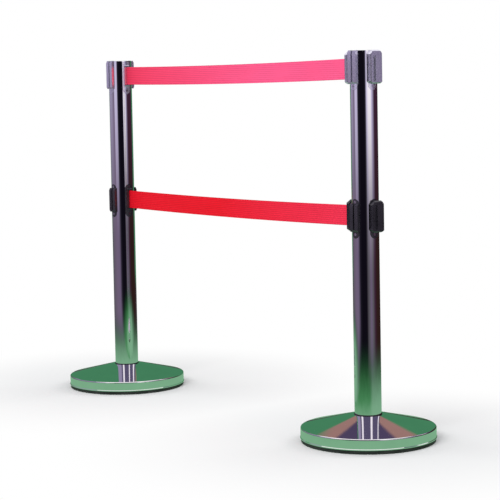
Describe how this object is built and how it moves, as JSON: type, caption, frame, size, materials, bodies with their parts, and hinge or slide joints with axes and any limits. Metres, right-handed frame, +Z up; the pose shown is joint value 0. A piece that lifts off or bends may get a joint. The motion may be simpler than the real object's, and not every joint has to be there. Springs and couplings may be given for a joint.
{
  "type": "retractable belt stanchion",
  "caption": "Pair of chrome posts on weighted round bases, joined by upper and lower retractable red belts from reels inside the posts, with slotted clip receivers.",
  "frame": {"origin": "midway between the two posts, on the floor", "axes": "+X along the belts from the left post to the right post, +Z up, +Y to the back"},
  "size_m": [1.34, 0.32, 0.91],
  "materials": {
    "tube_chrome": "mirror polished",
    "cap_chrome": "mirror polished",
    "base_chrome": "mirror polished",
    "screw_chrome": "polished",
    "cast_iron": "as cast, painted black",
    "zinc_steel": "zinc plated",
    "spring_steel": "blued spring steel",
    "floor_rubber": "matt",
    "gasket_rubber": "matt",
    "head_plating": "satin chrome-plated zinc casting",
    "receiver_plastic": "satin black ABS",
    "clip_plastic": "satin black ABS",
    "cassette_plastic": "matt black ABS",
    "spool_plastic": "matt grey acetal",
    "belt_webbing": "ribbed polyester webbing"
  },
  "bodies": {
    "left_post": {"left_floor_ring": "floor_rubber", "left_base_weight": "cast_iron", "left_base_cover": "base_chrome", "left_base_washer": "zinc_steel", "left_base_bolt": "zinc_steel", "left_foot_gasket": "gasket_rubber", "left_foot_plug": "zinc_steel", "left_post_tube": "tube_chrome", "left_top_cap": "cap_chrome", "left_receiver_screws": "screw_chrome", "left_upper_receivers": "head_plating", "left_upper_outlet": "head_plating", "left_upper_cassette_body": "cassette_plastic", "left_upper_cassette_lid": "cassette_plastic", "left_upper_spool_axle": "zinc_steel", "left_upper_spool_spring": "spring_steel", "left_upper_belt": "belt_webbing", "left_lower_receivers": "receiver_plastic", "left_lower_outlet": "receiver_plastic", "left_lower_cassette_body": "cassette_plastic", "left_lower_cassette_lid": "cassette_plastic", "left_lower_spool_axle": "zinc_steel", "left_lower_spool_spring": "spring_steel", "left_lower_belt": "belt_webbing"},
    "right_post": {"right_floor_ring": "floor_rubber", "right_base_weight": "cast_iron", "right_base_cover": "base_chrome", "right_base_washer": "zinc_steel", "right_base_bolt": "zinc_steel", "right_foot_gasket": "gasket_rubber", "right_foot_plug": "zinc_steel", "right_post_tube": "tube_chrome", "right_top_cap": "cap_chrome", "right_receiver_screws": "screw_chrome", "right_upper_receivers": "head_plating", "right_upper_outlet": "head_plating", "right_upper_cassette_body": "cassette_plastic", "right_upper_cassette_lid": "cassette_plastic", "right_upper_spool_axle": "zinc_steel", "right_upper_spool_spring": "spring_steel", "right_upper_belt": "belt_webbing", "right_lower_receivers": "receiver_plastic", "right_lower_outlet": "receiver_plastic", "right_lower_cassette_body": "cassette_plastic", "right_lower_cassette_lid": "cassette_plastic", "right_lower_spool_axle": "zinc_steel", "right_lower_spool_spring": "spring_steel", "right_lower_belt": "belt_webbing"},
    "upper_docked_clip": {"left_upper_clip": "head_plating"},
    "lower_docked_clip": {"left_lower_clip": "clip_plastic"},
    "upper_parked_clip": {"right_upper_clip": "head_plating"},
    "lower_parked_clip": {"right_lower_clip": "clip_plastic"},
    "left_upper_reel": {"left_upper_spool": "spool_plastic", "left_upper_belt_roll": "belt_webbing"},
    "left_lower_reel": {"left_lower_spool": "spool_plastic", "left_lower_belt_roll": "belt_webbing"},
    "right_upper_reel": {"right_upper_spool": "spool_plastic", "right_upper_belt_roll": "belt_webbing"},
    "right_lower_reel": {"right_lower_spool": "spool_plastic", "right_lower_belt_roll": "belt_webbing"}
  },
  "joints": [
    {"name": "post_spacing", "type": "slide", "parent": "left_post", "child": "right_post", "axis": [1, 0, 0], "range_m": [-0.69, 0.95], "deforming": ["left_upper_belt", "left_lower_belt"]},
    {"name": "upper_clip_lift", "type": "slide", "parent": "right_post", "child": "upper_docked_clip", "axis": [0, 0, 1], "range_m": [0, 0.085], "deforming": ["left_upper_belt"]},
    {"name": "lower_clip_lift", "type": "slide", "parent": "right_post", "child": "lower_docked_clip", "axis": [0, 0, 1], "range_m": [0, 0.085], "deforming": ["left_lower_belt"]},
    {"name": "upper_belt_pull", "type": "slide", "parent": "right_post", "child": "upper_parked_clip", "axis": [1, 0, 0], "range_m": [0, 1.9], "stiffness_N_per_m": 2, "springref_m": -2, "deforming": ["right_upper_belt"]},
    {"name": "lower_belt_pull", "type": "slide", "parent": "right_post", "child": "lower_parked_clip", "axis": [1, 0, 0], "range_m": [0, 1.9], "stiffness_N_per_m": 2, "springref_m": -2, "deforming": ["right_lower_belt"]},
    {"name": "left_upper_reel_turn", "type": "hinge", "parent": "left_post", "child": "left_upper_reel", "pos_m": [-0.51, 0, 0.868], "axis": [0, 0, 1], "range_deg": [-3300, 2400], "deforming": ["left_upper_spool_spring"]},
    {"name": "left_lower_reel_turn", "type": "hinge", "parent": "left_post", "child": "left_lower_reel", "pos_m": [-0.51, 0, 0.526], "axis": [0, 0, 1], "range_deg": [-3300, 2400], "deforming": ["left_lower_spool_spring"]},
    {"name": "right_upper_reel_turn", "type": "hinge", "parent": "right_post", "child": "right_upper_reel", "pos_m": [0.51, 0, 0.868], "axis": [0, 0, 1], "range_deg": [-6500, 0], "deforming": ["right_upper_spool_spring"]},
    {"name": "right_lower_reel_turn", "type": "hinge", "parent": "right_post", "child": "right_lower_reel", "pos_m": [0.51, 0, 0.526], "axis": [0, 0, 1], "range_deg": [-6500, 0], "deforming": ["right_lower_spool_spring"]}
  ],
  "couplings": [
    {"joint": "left_upper_reel_turn", "follows": "post_spacing", "rad_per_m": -58.8},
    {"joint": "right_upper_reel_turn", "follows": "upper_belt_pull", "rad_per_m": -58.8},
    {"joint": "left_lower_reel_turn", "follows": "post_spacing", "rad_per_m": -58.8},
    {"joint": "right_lower_reel_turn", "follows": "lower_belt_pull", "rad_per_m": -58.8}
  ]
}
